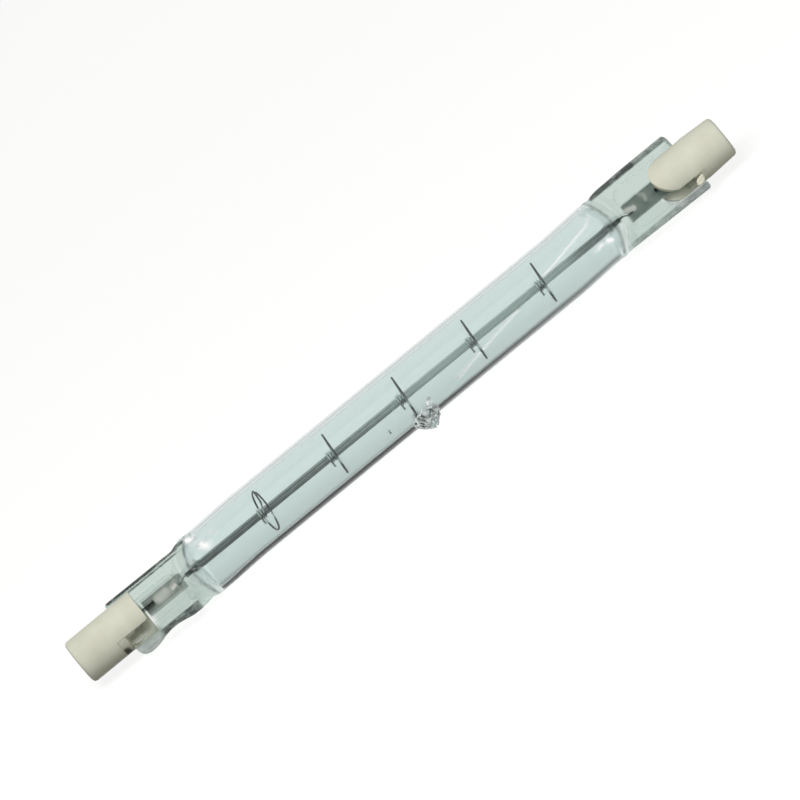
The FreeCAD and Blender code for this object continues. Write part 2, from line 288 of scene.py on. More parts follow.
def new_mesh(name: str, form: Form) -> Mesh:
    """Make a mesh of a form.

    Args:
        name: The mesh's name.
        form: Its corners and faces.

    Returns:
        The mesh.
    """
    mesh = bpy.data.meshes.new(name)
    mesh.from_pydata([tuple(c * MM for c in corner) for corner in form[0]], [], form[1])
    return mesh


def add_object(name: str, data: ID) -> Object:
    """Add an object to the scene.

    Args:
        name: The object's name.
        data: Its mesh, light or camera.

    Returns:
        The object.
    """
    made = bpy.data.objects.new(name, data)
    bpy.context.scene.collection.objects.link(made)
    return made


def paint(piece: Object, name: str, share: Callable[[Vector], float]) -> None:
    """Store a share from 0 to 1 at each corner of a piece.

    Args:
        piece: The piece.
        name: The share's name, which its material reads.
        share: Gives the share at a corner's place in millimetres.
    """
    layer = piece.data.attributes.new(name, "FLOAT", "POINT")
    layer.data.foreach_set("value", [float(share(corner.co / MM)) for corner in piece.data.vertices])


# Finishes

@dataclass(frozen=True)
class FusedQuartz:
    """Fused quartz, drawn and fire polished: clear, faintly green-grey, with soft lines along the draw.

    Sizes are in millimetres. The mesh gives four shares at each corner: "seal" where pinching left the glass solid
    and so greener, "calm" where it bends light less than its thickness would, one of painted shade along the seals'
    edges, on the line round each dome and in dark spots, and one of painted highlights, which also lightens the glass
    in front of shaded ceramic and whitens the fine scratches and creases that look white.
    """

    tint: str = "#e3eceb"
    seal_tint: str = "#c6d4ce"
    # Colours of the painted shade and of the painted highlights.
    painted_shade: str = "#343937"
    highlight_and_scratch: str = "#ffffff"
    ior: float = 1.458
    draw_line: float = 0.8
    draw_stretch: float = 0.04
    draw_strength: float = 0.012
    draw_depth: float = 0.1
    mottle: float = 0.75
    mottle_stretch: float = 0.6
    mottle_range: Pair = (0.3, 0.62)
    mottle_least: float = 0.42

    def material(self) -> Material:
        """Build the quartz, which lets light from lamps through to the metal inside it."""
        material, tree = new_material("fused_quartz")
        seal, calm, painted_shade, highlight_and_scratch = painted(tree, "seal", "calm", "painted_shade", "highlight_and_scratch")
        relief = add_node(tree, "ShaderNodeBump", {"Strength": self.draw_strength, "Distance": self.draw_depth * MM},
                          {"Height": pattern(tree, self.draw_line, 1.0, self.draw_stretch)})
        low, high = self.mottle_range
        mottle = add_node(tree, "ShaderNodeMapRange", {"From Min": low, "From Max": high, "To Min": self.mottle_least},
                          {"Value": pattern(tree, self.mottle, 2.0, self.mottle_stretch)})
        dark = add_node(tree, "ShaderNodeMath", {"operation": "MULTIPLY"}, {0: painted_shade, 1: mottle})
        tone = add_node(tree, "ShaderNodeMix", {"data_type": "RGBA", 6: linear(self.tint), 7: linear(self.seal_tint)},
                        {"Factor": seal})
        # Painted shade darkens the glass's colour, and painted highlights whiten it.
        for share, colour in ((dark, self.painted_shade), (highlight_and_scratch, self.highlight_and_scratch)):
            tone = add_node(tree, "ShaderNodeMix", {"data_type": "RGBA", 7: linear(colour)},
                            {"Factor": share, 6: tone.outputs[2]})
        glass = add_node(tree, "ShaderNodeBsdfPrincipled",
                         {"Roughness": 0.0, "IOR": self.ior, "Transmission Weight": 1.0},
                         {"Base Color": tone.outputs[2], "Normal": relief})
        root = add_node(tree, "ShaderNodeGamma", {"Gamma": 0.5}, {"Color": tone.outputs[2]})
        clear = add_node(tree, "ShaderNodeBsdfTransparent", None, {"Color": root})
        path = add_node(tree, "ShaderNodeLightPath")
        share = add_node(tree, "ShaderNodeMath", {"operation": "MAXIMUM"}, {0: path.outputs["Is Shadow Ray"], 1: calm})
        mix = add_node(tree, "ShaderNodeMixShader", None, {0: share, 1: glass, 2: clear})
        add_node(tree, "ShaderNodeOutputMaterial", None, {"Surface": mix})
        return material


@dataclass(frozen=True)
class Opaque:
    """A surface that clouds from one colour to another and has a fine grain. Sizes are in millimetres.

    The mesh can give two shares at each corner: "tone" adds to the share of the second colour, and also paints light
    and shade on the coil, light on the supports and a glint on a foil; "shade" paints shade into crevices.
    """

    name: str
    first: str
    second: str
    roughness: float
    cloud: float = 3.0
    cloud_detail: float = 4.0
    cloud_range: Pair = (0.35, 0.7)
    cloudiness: float = 1.0
    grain: float = 0.12
    grain_detail: float = 5.0
    grain_strength: float = 0.25
    grain_depth: float = 0.05
    metallic: float = 0.0
    crevice_shade: str = "#33332e"

    def material(self) -> Material:
        """Build the surface's material."""
        material, tree = new_material(self.name)
        tone, shade = painted(tree, "tone", "shade")
        low, high = self.cloud_range
        clouds = add_node(tree, "ShaderNodeMapRange", {"From Min": low, "From Max": high, "To Max": self.cloudiness},
                          {"Value": pattern(tree, self.cloud, self.cloud_detail)})
        share = add_node(tree, "ShaderNodeMath", {"operation": "ADD", "use_clamp": True}, {0: clouds, 1: tone})
        colour = add_node(tree, "ShaderNodeMix", {"data_type": "RGBA", 6: linear(self.first), 7: linear(self.second)},
                          {"Factor": share})
        shaded = add_node(tree, "ShaderNodeMix", {"data_type": "RGBA", 7: linear(self.crevice_shade)},
                          {"Factor": shade, 6: colour.outputs[2]})
        relief = add_node(tree, "ShaderNodeBump", {"Strength": self.grain_strength, "Distance": self.grain_depth * MM},
                          {"Height": pattern(tree, self.grain, self.grain_detail)})
        body = add_node(tree, "ShaderNodeBsdfPrincipled", {"Metallic": self.metallic, "Roughness": self.roughness},
                        {"Base Color": shaded.outputs[2], "Normal": relief})
        add_node(tree, "ShaderNodeOutputMaterial", None, {"Surface": body})
        return material


@dataclass(frozen=True)
class DrawnMetal(Opaque):
    """Drawn or rolled metal: dull grey with faint changes of tone."""

    cloud: float = 0.9
    cloud_detail: float = 3.0
    cloud_range: Pair = (0.35, 0.65)
    cloudiness: float = 0.3
    grain: float = 0.06
    grain_detail: float = 2.0
    grain_depth: float = 0.01
    metallic: float = 1.0


@dataclass(frozen=True)
class FiredCeramic(Opaque):
    """Unglazed ceramic, pressed and fired: matt cream, cloudy, with fine grit."""


class Finish(Enum):
    """The lamp's finishes, each named as the record's material slot that it dresses."""

    QUARTZ = FusedQuartz()
    TUNGSTEN_COIL = DrawnMetal("tungsten_coil", "#66706d", "#eaf3ef", roughness=0.45, cloudiness=0.12)
    TUNGSTEN_WIRE = DrawnMetal("tungsten_wire", "#3a403f", "#dce4e1", roughness=0.35, cloudiness=0.1)
    MOLYBDENUM_FOIL = DrawnMetal("molybdenum_foil", "#8a948f", "#f4ece8", roughness=0.5, cloud=1.4, cloudiness=0.16)
    MOLYBDENUM_WIRE = DrawnMetal("molybdenum_wire", "#333735", "#4c514f", roughness=0.5)
    NICKEL_CONTACT = DrawnMetal("nickel_plate", "#b5b0a6", "#d2cec4", roughness=0.32, cloudiness=0.6)
    CERAMIC = FiredCeramic("steatite", "#e8e8d6", "#dfdeca", roughness=0.7)
    CEMENT = FiredCeramic("lamp_cement", "#ecebd9", "#e0dfcc", roughness=0.9, cloud=0.7, grain=0.18,
                          grain_strength=0.8)


MATERIALS: dict[Finish, Material] = {}


def coat(piece: Object, kind: Finish) -> None:
    """Give a piece the material of a finish, which is built the first time that it is needed.

    Args:
        piece: The piece.
        kind: Its finish.
    """
    if kind not in MATERIALS:
        MATERIALS[kind] = kind.value.material()
    piece.data.materials.clear()
    piece.data.materials.append(MATERIALS[kind])


def dress(piece: Object, kind: Finish, replaced: Sequence[str] = ()) -> Object:
    """Give a new piece its finish and tie it to the lamp's body.

    Args:
        piece: The piece.
        kind: Its finish.
        replaced: The frame's nodes that it stands for.

    Returns:
        The same piece.
    """
    coat(piece, kind)
    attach(piece, "root")
    if replaced:
        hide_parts(*replaced)
    return piece


def mesh_piece(name: str, form: Form, kind: Finish, replaced: Sequence[str] = (), merge: float = 0.0) -> Object:
    """Make a smooth-shaded piece of the lamp.

    Args:
        name: The piece's name.
        form: Its corners and faces.
        kind: Its finish.
        replaced: The frame's nodes that it stands for.
        merge: Corners nearer than this many millimetres become one.

    Returns:
        The new object.
    """
    mesh = new_mesh(name, form)
    if merge:
        work = bmesh.new()
        work.from_mesh(mesh)
        bmesh.ops.remove_doubles(work, verts=work.verts, dist=merge * MM)
        bmesh.ops.dissolve_degenerate(work, edges=work.edges, dist=merge * MM / 10)
        work.to_mesh(mesh)
        work.free()
    mesh.shade_smooth()
    return dress(add_object(name, mesh), kind, replaced)


# The lamp's frame

@dataclass(frozen=True)
class LampAxis:
    """The lamp's axis in the frame, in millimetres, with the roll that faces straight down in the picture."""

    y: float
    z: float
    picture_down: float = ELEVATION

    def at(self, x: float, roll: float, reach: float) -> Vector:
        """Place a point by its length along the lamp, its roll in degrees from straight down, and its reach."""
        angle = radians(roll)
        return Vector((x, self.y - reach * sin(angle), self.z - reach * cos(angle)))

    def near(self, x: float, towards: float, down: float) -> Vector:
        """Place a point by how far it lies towards the viewer and down the picture."""
        angle = radians(self.picture_down)
        return Vector((x, self.y - towards * cos(angle) - down * sin(angle),
                       self.z + towards * sin(angle) - down * cos(angle)))

    def down(self, place: Vector) -> float:
        """Say how far a place lies down the picture from the axis."""
        angle = radians(self.picture_down)
        return (self.y - place.y) * sin(angle) + (self.z - place.z) * cos(angle)


@dataclass(frozen=True)
class DarkBand:
    """A stretch of a seal's edge that painted shade darkens: two lengths, and two distances down the picture."""

    start: float
    end: float
    top: float
    bottom: float
    strength: float
    soft: float = 0.14


@dataclass(frozen=True)
class Streak:
    """A mark along some places, each with its x and its distance down the picture. Sizes are in millimetres."""

    places: tuple[Pair, ...]
    width: float
    strength: float = 1.0

    def share(self, x: float, down: float) -> float:
        """Say how strong the mark is at a place, from 0 to 1."""
        nearest = inf
        for (x_from, d_from), (x_to, d_to) in zip(self.places, self.places[1:] or self.places):
            run, fall = x_to - x_from, d_to - d_from
            length = run * run + fall * fall
            along = 0.0 if not length else min(max(((x - x_from) * run + (down - d_from) * fall) / length, 0), 1)
            nearest = min(nearest, hypot(x - x_from - run * along, down - d_from - fall * along))
        return self.strength * (1 - smooth_step(nearest, self.width * 0.25, self.width * 0.75))


def strongest(marks: Iterable[Streak], x: float, down: float) -> float:
    """Give the share of the strongest of some marks at a place."""
    return max((mark.share(x, down) for mark in marks), default=0.0)


@dataclass(frozen=True)
class SealedEnd:
    """One end of the lamp. Lengths run outwards from the lamp's middle, in millimetres.

    The edges give the press seal's reach from the axis, by length from the end of the gas space.
    """

    name: str
    side: int
    roll: float
    shift: float
    gas_end: float
    glass_end: float
    slant: float
    upper_corner: float
    lower_corner: float
    upper_edge: tuple[Pair, ...]
    lower_edge: tuple[Pair, ...]
    foil_start: float
    dome_drop: Pair
    dome_reach: Pair
    dark_bands: tuple[DarkBand, ...]
    # Lighter patches on the foil, and on the left foil a painted glint.
    foil_glints_and_patches: tuple[Streak, ...]

    def place(self, axis: LampAxis, length: float, u: float, w: float) -> Vector:
        """Place a point by its length, its reach u to the seal's lower edge and w out of its front."""
        middle = axis.at(0, 0, 0)
        down = axis.at(0, self.roll, u) - middle
        front = axis.at(0, self.roll + 90, w) - middle
        return axis.at(self.side * length, 0, 0) + down + front


# Where the seals' edges and beads start and where the edges stop being told, from the end of the gas space
PRESS_START = -2.4
EDGE_END = 16.0
LEFT = SealedEnd(
    name="left", side=-1, roll=61.26, shift=0.3, gas_end=38.25, glass_end=51.2, slant=0.0,
    upper_corner=0.6, lower_corner=1.6,
    upper_edge=((PRESS_START, 4.75), (EDGE_END, 4.95)),
    lower_edge=((PRESS_START, 4.75), (2.6, 5.45), (6.8, 4.85), (11.1, 5.75), (EDGE_END, 5.35)),
    foil_start=1.65,
    dome_drop=(1.75, 0.7),
    dome_reach=(3.95, 3.8),
    dark_bands=(DarkBand(37.9, 50.7, -6.0, -3.68, 1.45), DarkBand(36.5, 38.2, -4.3, -3.85, 1.2),
                DarkBand(38.4, 49.5, -3.5, -3.22, 1.1),
                DarkBand(40.1, 46.8, 3.67, 6.0, 1.1), DarkBand(46.9, 51.3, 3.5, 6.0, 0.42, soft=0.3)),
    foil_glints_and_patches=(Streak(((-46.6, 0.2), (-39.8, 0.2)), 5.0, 0.2), Streak(((-44.4, 0.05), (-43.0, 0.05)), 1.5, 0.85),
                Streak(((-42.3, 0.3), (-41.0, -0.4)), 1.1, 0.5), Streak(((-41.8, 0.2), (-41.3, 0.05)), 0.5, 1.3)),
)
RIGHT = SealedEnd(
    name="right", side=1, roll=45.26, shift=-0.3, gas_end=38.9, glass_end=52.65, slant=3.5,
    upper_corner=0.7, lower_corner=0.4,
    upper_edge=((PRESS_START, 4.65), (1.5, 5.28), (6.0, 5.37), (EDGE_END, 5.37)),
    lower_edge=((PRESS_START, 4.8), (EDGE_END, 5.2)),
    foil_start=2.2,
    dome_drop=(1.3, 1.1),
    dome_reach=(4.7, 3.5),
    dark_bands=(DarkBand(38.4, 46.3, -7.0, -4.6, 1.4, soft=0.3), DarkBand(45.9, 52.6, -7.0, -4.6, 0.85, soft=0.3),
                DarkBand(52.0, 53.2, -6.0, -3.4, 0.8), DarkBand(38.9, 53.2, 3.62, 6.0, 0.62, soft=0.2)),
    foil_glints_and_patches=(Streak(((40.9, -0.35), (41.7, -0.25), (42.5, -0.02)), 0.75, 1.2),
                Streak(((44.3, -1.1), (44.8, -0.55), (44.6, 0.1)), 0.55, 0.4)),
)


def end_at(x: float) -> SealedEnd:
    """Give the lamp's end that a length along the lamp belongs to."""
    return LEFT if x < 0 else RIGHT


# Quartz envelope

@dataclass
class QuartzEnvelope:
    """The quartz tube, pinched flat at both ends, with its melted exhaust tip. Sizes are in millimetres."""

    axis: LampAxis
    tube_r: float = 4.8
    bore_r: float = 4.15
    dome_depth: float = 2.1
    bend_length: float = 8.0
    shoulder_start: float = -2.3
    shoulder_length: float = 6.0
    shoulder_end_width: float = 4.1
    shoulder_end_thickness: float = 1.0
    press_half: float = 1.6
    nose: float = 0.95
    bead: float = 0.9
    bead_slope: float = 0.35
    recess_start: float = 2.0
    recess_corner: float = 2.0
    recess_depth: float = 0.45
    edge_blend: float = 0.3
    recess_fillet: float = 0.8
    recess_lift: float = 0.12
    end_round: float = 0.5
    # Beside the ceramics the seal's green is lifted lower in the picture: painted light on the shaded ceramic behind
    # the glass.
    seal_lift_stretch: Pair = (46.9, 47.6)
    seal_lift: float = 0.8
    tip_x: float = 1.45
    tip_roll: float = 50.26
    tip_height: float = 2.18
    tip_ball: float = 0.9
    tip_flank_angle: float = 36.0
    tip_foot: float = 2.5
    tip_left_stretch: float = 1.25
    tip_foot_rise: float = 0.34
    tip_crinkle: float = 0.24
    tip_crinkle_size: float = 0.3
    tip_crinkle_fade: Pair = (1.5, 2.4)
    tip_waves: tuple[Pair, ...] = ((1.0, 1.4), (0.45, 0.8))
    tip_hollow: float = 1.2
    tip_hollow_fade: Pair = (0.25, 0.85)
    twist_reach: float = 26.0
    seal_calm: float = 0.72
    calm_rise: float = 0.8
    calm_starts: Pair = (-1.7, -0.4)
    band_soft: float = 0.5
    # Painted shade on a thin line round each dome.
    dome_shade: float = 0.7
    dome_line: Triple = (-0.2, 0.2, 0.25)
    outer_lines: tuple[Triple, ...] = ((-42, 42, 1.2), (42, 138, 3), (138, 222, 2), (222, 318, 3))
    inner_lines: tuple[Triple, ...] = ((-30, 30, 1.5), (30, 330, 3.5))
    end_rows: tuple[float, ...] = (0.5, 0.4, 0.3, 0.2, 0.13, 0.08, 0.04, 0.015, 0.0)
    # Painted highlights on the domes, the tip and the seals, a painted glint over the left foil, lighter glass over the
    # shaded ceramic tongues, and white lines along fine scratches and a crease, drawn as bright as the light they
    # catch.
    highlights_and_scratches: tuple[Streak, ...] = (
        Streak(((8.0, 2.75), (10.2, 2.47), (15.3, 1.6), (20.8, 0.78)), 0.3, 0.8),
        Streak(((-41.9, 0.2), (-41.3, 0.0)), 0.6), Streak(((-50.0, 1.8), (-47.8, 1.8)), 2.6, 0.9),
        Streak(((47.0, 1.7), (47.6, 2.4), (48.6, 2.85), (51.5, 2.95)), 1.1, 0.95),
        Streak(((26.6, -0.7), (32.0, -1.7), (35.6, -2.4), (36.7, -3.2)), 0.3, 0.9),
        Streak(((39.7, 0.6), (37.9, 4.4)), 0.3, 0.8), Streak(((40.3, 0.5), (38.6, 3.6)), 0.2, 0.5),
        Streak(((-36.1, -3.75), (-35.2, -3.5)), 0.85), Streak(((-34.8, -1.95), (-34.2, -1.5)), 1.2),
        Streak(((-32.3, -2.35),), 0.8, 0.8), Streak(((-50.8, 3.1),), 0.4, 0.9), Streak(((-37.6, -1.0),), 0.5, 0.7),
        Streak(((35.1, 1.35), (35.5, 1.1)), 0.8), Streak(((36.8, 1.2), (37.2, 1.45)), 0.8),
        Streak(((2.6, 2.75), (3.1, 2.35)), 0.6, 0.9), Streak(((1.3, 3.6), (1.2, 4.7)), 0.8, 0.7),
        Streak(((2.3, 4.9),), 0.4, 0.7), Streak(((0.5, 4.9),), 0.4, 0.6))
    # Dark spots: painted shade on the crinkled tip, and darker glass at a bubble and over the right foil's weld.
    dark_spots: tuple[Streak, ...] = (
        Streak(((-4.17, 2.73),), 0.36, 1.1), Streak(((43.7, -0.8),), 1.3, 0.3),
        Streak(((0.2, 3.1), (0.1, 4.1)), 0.5, 0.95), Streak(((0.7, 3.2), (1.0, 3.9)), 0.25, 0.6),
        Streak(((2.1, 3.5), (2.6, 4.3)), 0.25, 0.8), Streak(((2.8, 3.4), (3.2, 4.1)), 0.3, 0.8),
        Streak(((0.8, 5.3), (1.3, 6.0)), 0.3, 0.5), Streak(((1.7, 4.6), (2.0, 5.4)), 0.2, 0.5))

    def roll(self, x: float) -> float:
        """Roll of the mesh's first line at a length, which turns from one seal's roll to the other's."""
        return LEFT.roll + (RIGHT.roll - LEFT.roll) * smooth_step(x, -self.twist_reach, self.twist_reach)

    def lift_at_tip(self, x: float, roll: float) -> float:
        """Height of the melted tip over the tube.

        Args:
            x: Length along the lamp.
            roll: Roll of the point about the axis, in degrees.

        Returns:
            The height, which is 0 away from the tip.
        """
        across = radians(roll - self.tip_roll) * self.tube_r
        stretch = self.tip_left_stretch if x < self.tip_x else 1.0
        away = hypot((x - self.tip_x) / stretch, across)
        if away > self.tip_foot:
            return 0.0
        angle = radians(self.tip_flank_angle)
        tangent = self.tip_ball * cos(angle)
        centre = self.tip_height - self.tip_ball
        if away < tangent:
            height = centre + sqrt(self.tip_ball ** 2 - away ** 2)
        else:
            flank = centre + self.tip_ball * sin(angle) - (away - tangent) / tan(angle)
            foot = self.tip_foot_rise * (self.tip_foot - away) ** 2 / (self.tip_foot - tangent)
            height = max(flank, 0) + foot * smooth_step(away, tangent, tangent + 1)
        crinkle = 1 + waves(Vector((x, across, 0)) / self.tip_crinkle_size, self.tip_waves)
        fade = 1 - smooth_step(away, *self.tip_crinkle_fade)
        return max(0.0, height - self.tip_crinkle * crinkle * fade)

    def press_form(self, end: SealedEnd, x: float, s: np.ndarray) -> tuple[np.ndarray, np.ndarray]:
        """Half section of the tube where it closes from round to the flat seal.

        Args:
            end: The end of the lamp.
            x: Length from the end of the gas space.
            s: Places across the section, from -1 at the upper edge to 1 at the lower edge.

        Returns:
            The reach u of each place, and the half thickness there.
        """
        share = min(max((x - self.shoulder_start) / self.shoulder_length, 0), 1)
        eased = (1 - cos(pi * share)) / 2
        wide = self.tube_r + (self.shoulder_end_width - self.tube_r) * eased
        thick = self.tube_r + (self.shoulder_end_thickness - self.tube_r) * eased
        power = 2 + share
        blend = self.edge_blend * smooth_step(x, -2, 1)
        from_end = max(end.glass_end - end.gas_end - x, 0)
        reach_up, reach_low = (self.rounded(self.joined(wide, along_edge(edge, x), blend), corner, from_end)
                               for edge, corner in ((end.upper_edge, end.upper_corner),
                                                    (end.lower_edge, end.lower_corner)))
        u = np.where(s < 0, s * reach_up, s * reach_low)
        round_part = thick * np.clip(1 - np.abs(u / wide) ** power, 0, 1) ** (1 / power)
        if x < PRESS_START:
            return u, round_part
        inside = np.clip(np.where(s < 0, reach_up + u, reach_low - u), 0, self.nose)
        flat = self.press_half * np.sqrt(1 - (1 - inside / self.nose) ** 2)
        flat = (flat - self.recess_depth * self.recess(end, x, u)) * smooth_step(x, PRESS_START - 0.1, PRESS_START + 1)
        nearness = np.clip(1 - np.abs(round_part - flat) / self.recess_fillet, 0, 1)
        fillet = nearness ** 2 * self.recess_lift * smooth_step(x, -1, 1)
        form = np.maximum(round_part, flat) + fillet * (np.abs(s) < 0.99)
        ends = sqrt(1 - (1 - min(from_end, self.end_round) / self.end_round) ** 2)
        return u, form * ends

    @staticmethod
    def joined(a: float, b: float, blend: float) -> float:
        """The greater of two reaches, rounded over where they are nearly the same."""
        if blend <= 0:
            return max(a, b)
        return max(a, b) + blend / 4 * max(0.0, 1 - abs(a - b) / blend) ** 2

    @staticmethod
    def rounded(reach: float, corner: float, from_end: float) -> float:
        """A reach, drawn in over a rounded corner at the glass end."""
        inside = corner - min(from_end, corner)
        return reach - corner + sqrt(corner ** 2 - inside ** 2)

    def recess(self, end: SealedEnd, x: float, u: np.ndarray) -> np.ndarray:
        """How deep the seal's sunk flat is at each place, from 0 on the beads to 1 on the flat."""
        upper, lower = (min(reach for at, reach in edge if at > self.recess_start) - self.bead
                        for edge in (end.upper_edge, end.lower_edge))
        along = self.recess_start + self.recess_corner - x
        across = np.abs(u - (lower - upper) / 2) - ((lower + upper) / 2 - self.recess_corner)
        outside = np.hypot(max(along, 0), np.maximum(across, 0))
        return smooth_step(self.recess_corner - outside, 0, self.bead_slope)

    def outer_ring(self, x: float, angles: np.ndarray) -> list[Vector]:
        """One ring of the outer surface.

        Args:
            x: Length along the lamp.
            angles: The mesh lines' angles from the roll of the seal's lower edge, in radians.

        Returns:
            The ring's corners.
        """
        end = end_at(x)
        length = abs(x)
        from_gas = length - end.gas_end
        s = np.cos(angles)
        if from_gas < self.shoulder_start - self.bend_length:
            rolls = self.roll(x) + np.degrees(angles)
            return [self.axis.at(x, turned, self.tube_r + self.lift_at_tip(x, turned)) for turned in rolls]
        u, half = self.press_form(end, from_gas, s)
        w = np.where(np.sin(angles) < 0, -half, half)
        w = np.where(np.abs(np.abs(s) - 1) < 1e-9, 0, w)
        bend = smooth_step(from_gas, self.shoulder_start - self.bend_length, self.shoulder_start)
        lean = tan(radians(end.slant)) * smooth_step(from_gas, 6, end.glass_end - end.gas_end)
        return [end.place(self.axis, length + lean * a, a + end.shift * bend, b) for a, b in zip(u, w)]

    def inner_ring(self, x: float, angles: np.ndarray) -> list[Vector]:
        """One ring of the gas space, which is a bore with domed ends."""
        end = end_at(x)
        length = abs(x)
        into_dome = max(0.0, length - end.gas_end + self.dome_depth) / self.dome_depth
        radius = self.bore_r * sqrt(max(0.0, 1 - into_dome ** 2))
        start = end.gas_end + self.shoulder_start - self.bend_length
        bend = smooth_step(length, start, end.gas_end - self.dome_depth)
        roll = self.roll(x)
        away = abs(x - self.tip_x)
        ring = []
        for a in angles:
            u = radius * cos(a) + end.shift * bend
            w = radius * sin(a)
            if length > self.twist_reach:
                ring.append(end.place(self.axis, length, u, w))
                continue
            turned = roll + degrees(a)
            if away > self.tip_foot:
                ring.append(self.axis.at(x, turned, radius))
                continue
            across = radians(turned - self.tip_roll) * self.bore_r
            hollow = self.tip_hollow * (1 - smooth_step(hypot(away, across), *self.tip_hollow_fade))
            ring.append(self.axis.at(x, turned, self.bore_r + hollow))
        return ring

    def outer_rows(self) -> list[float]:
        """Lengths of the outer skin's rings, which are closer together at the seals, the bubble and the tip."""
        rows: list[float] = []
        for end in (LEFT, RIGHT):
            flat, last = end.gas_end + 4.4, end.glass_end - 1.7
            lengths = steps((end.gas_end + PRESS_START - 0.3, flat, 0.22), (flat, last, 0.35),
                            (last, end.glass_end - self.end_rows[0], 0.15))
            rows += [end.side * length for length in lengths + [end.glass_end - d for d in self.end_rows]]
        rows += steps((-LEFT.gas_end - PRESS_START + 0.3, -4.6, 0.5), (-4.6, -3.8, 0.08), (-3.8, -1.8, 0.5),
                      (-1.8, 4.1, 0.075), (4.1, RIGHT.gas_end + PRESS_START - 0.3, 0.5))
        return sorted(set(round(x, 4) for x in rows))

    def inner_rows(self) -> list[float]:
        """Lengths of the gas space's rings, which are closer together in the domes and the tip."""
        rows: list[float] = []
        for end in (LEFT, RIGHT):
            dome = end.gas_end - self.dome_depth
            rows += [end.side * (dome + self.dome_depth * sin(radians(a))) for a in range(0, 91, 5)]
        rows += steps((-LEFT.gas_end + self.dome_depth + 0.5, 0.4, 1.0), (0.4, 2.5, 0.1),
                      (2.5, RIGHT.gas_end - self.dome_depth, 1.0))
        return sorted(set(round(x, 4) for x in rows))

    def build(self) -> Object:
        """Mesh the quartz: its outer skin, and the gas space's skin facing inwards."""
        skins = []
        for rows, lines, ring, flip in ((self.outer_rows(), self.outer_lines, self.outer_ring, True),
                                        (self.inner_rows(), self.inner_lines, self.inner_ring, False)):
            angles = np.radians(steps(*lines))
            corners = [corner for x in rows for corner in ring(x, angles)]
            skins.append((corners, grid_faces(len(rows), len(angles), closed=True, flip=flip)))
        quartz = mesh_piece("quartz_tube", merged(*skins), Finish.QUARTZ, ["quartz_envelope"], merge=0.002)
        for name, share in (("seal", self.seal), ("calm", self.calm), ("painted_shade", self.painted_shade), ("highlight_and_scratch", self.highlight_and_scratch)):
            paint(quartz, name, share)
        return quartz

    def past_dome(self, place: Vector) -> float:
        """Say how far a place lies beyond the round end of the gas space, as it looks in the picture."""
        end = end_at(place.x)
        down = self.axis.down(place)
        lower = down > 0
        return abs(place.x) - end.gas_end + end.dome_drop[lower] * (down / end.dome_reach[lower]) ** 2

    def seal(self, place: Vector) -> float:
        """Say how green the glass is at a place: in the seals, but less beside the ceramics, where paler glass is
        painted light on the shaded ceramic seen behind it.
        """
        dull = self.seal_lift * smooth_step(abs(place.x), *self.seal_lift_stretch)
        return smooth_step(self.past_dome(place), -0.5, 0.5) - dull * smooth_step(self.axis.down(place), 0.2, 1)

    def calm(self, place: Vector) -> float:
        """Say how much of the light goes straight through at a place, from 0 to 1."""
        start = np.interp(smooth_step(self.axis.down(place), 2.6, 3.8), (0, 1), self.calm_starts)
        in_seal = self.seal_calm * smooth_step(self.past_dome(place), start, start + self.calm_rise)
        return max(in_seal, self.highlight_and_scratch(place))

    def highlight_and_scratch(self, place: Vector) -> float:
        """Say how much painted highlight whitens the glass at a place, from 0 to 1, together with the white scratches
        and creases.
        """
        return strongest(self.highlights_and_scratches, place.x, self.axis.down(place))

    def painted_shade(self, place: Vector) -> float:
        """Say how much painted shade darkens the glass at a place, from 0 to 1: along the seals' edges, on the line
        round each dome, and in dark spots.
        """
        down = self.axis.down(place)
        bands = max(band.strength * soft_band(abs(place.x), band.start, band.end, self.band_soft)
                    * soft_band(down, band.top, band.bottom, band.soft)
                    for band in end_at(place.x).dark_bands)
        dome = self.dome_shade * soft_band(self.past_dome(place), *self.dome_line)
        return max(bands, dome, strongest(self.dark_spots, place.x, down))


# Filament and its supports

@dataclass
class CoiledFilament:
    """The long tungsten coil. Sizes are in millimetres."""

    axis: LampAxis
    outer_r: float = 0.625
    wire_r: float = 0.08
    pitch: float = 0.2
    end_gap: float = 0.2
    per_turn: int = 18
    wire_sides: int = 6
    # Painted light and shade: fine lines along the coil, and shade on its lower side.
    shading_line_gap: float = 0.36
    shading_line_strength: float = 0.25
    underside_shade: float = 0.3
    tones: tuple[Pair, ...] = ((-37, 0.05), (-28, 0.14), (-14, 0.36), (-4, 0.6), (4, 0.98), (19, 0.98),
                               (30, 0.85), (33, 0.36), (36, 0.28), (38, 0.1))

    def build(self) -> Object:
        """Wind the coil from one end of the gas space to the other, darker towards its ends."""
        start = -LEFT.gas_end + self.end_gap + self.wire_r
        length = RIGHT.gas_end - self.end_gap - self.wire_r - start
        turns = length / self.pitch
        count = round(turns * self.per_turn)
        radius = self.outer_r - self.wire_r
        path = []
        for i in range(count + 1):
            angle = 2 * pi * turns * i / count
            path.append(self.axis.near(start + length * i / count, radius * cos(angle), radius * sin(angle)))
        coil = mesh_piece("tungsten_coil", swept_wire(path, self.wire_r, self.wire_sides, ALONG),
                          Finish.TUNGSTEN_COIL, ["filament"])
        paint(coil, "tone", self.tone)
        return coil

    def tone(self, place: Vector) -> float:
        """Say how light the coil looks at a place: by length, with painted light and shade in fine lines along it and
        painted shade on its lower side.
        """
        down = self.axis.down(place)
        lines = self.shading_line_strength * cos(2 * pi * down / self.shading_line_gap)
        return np.interp(place.x, *zip(*self.tones)) + lines - self.underside_shade * smooth_step(down, 0.25, 0.5)


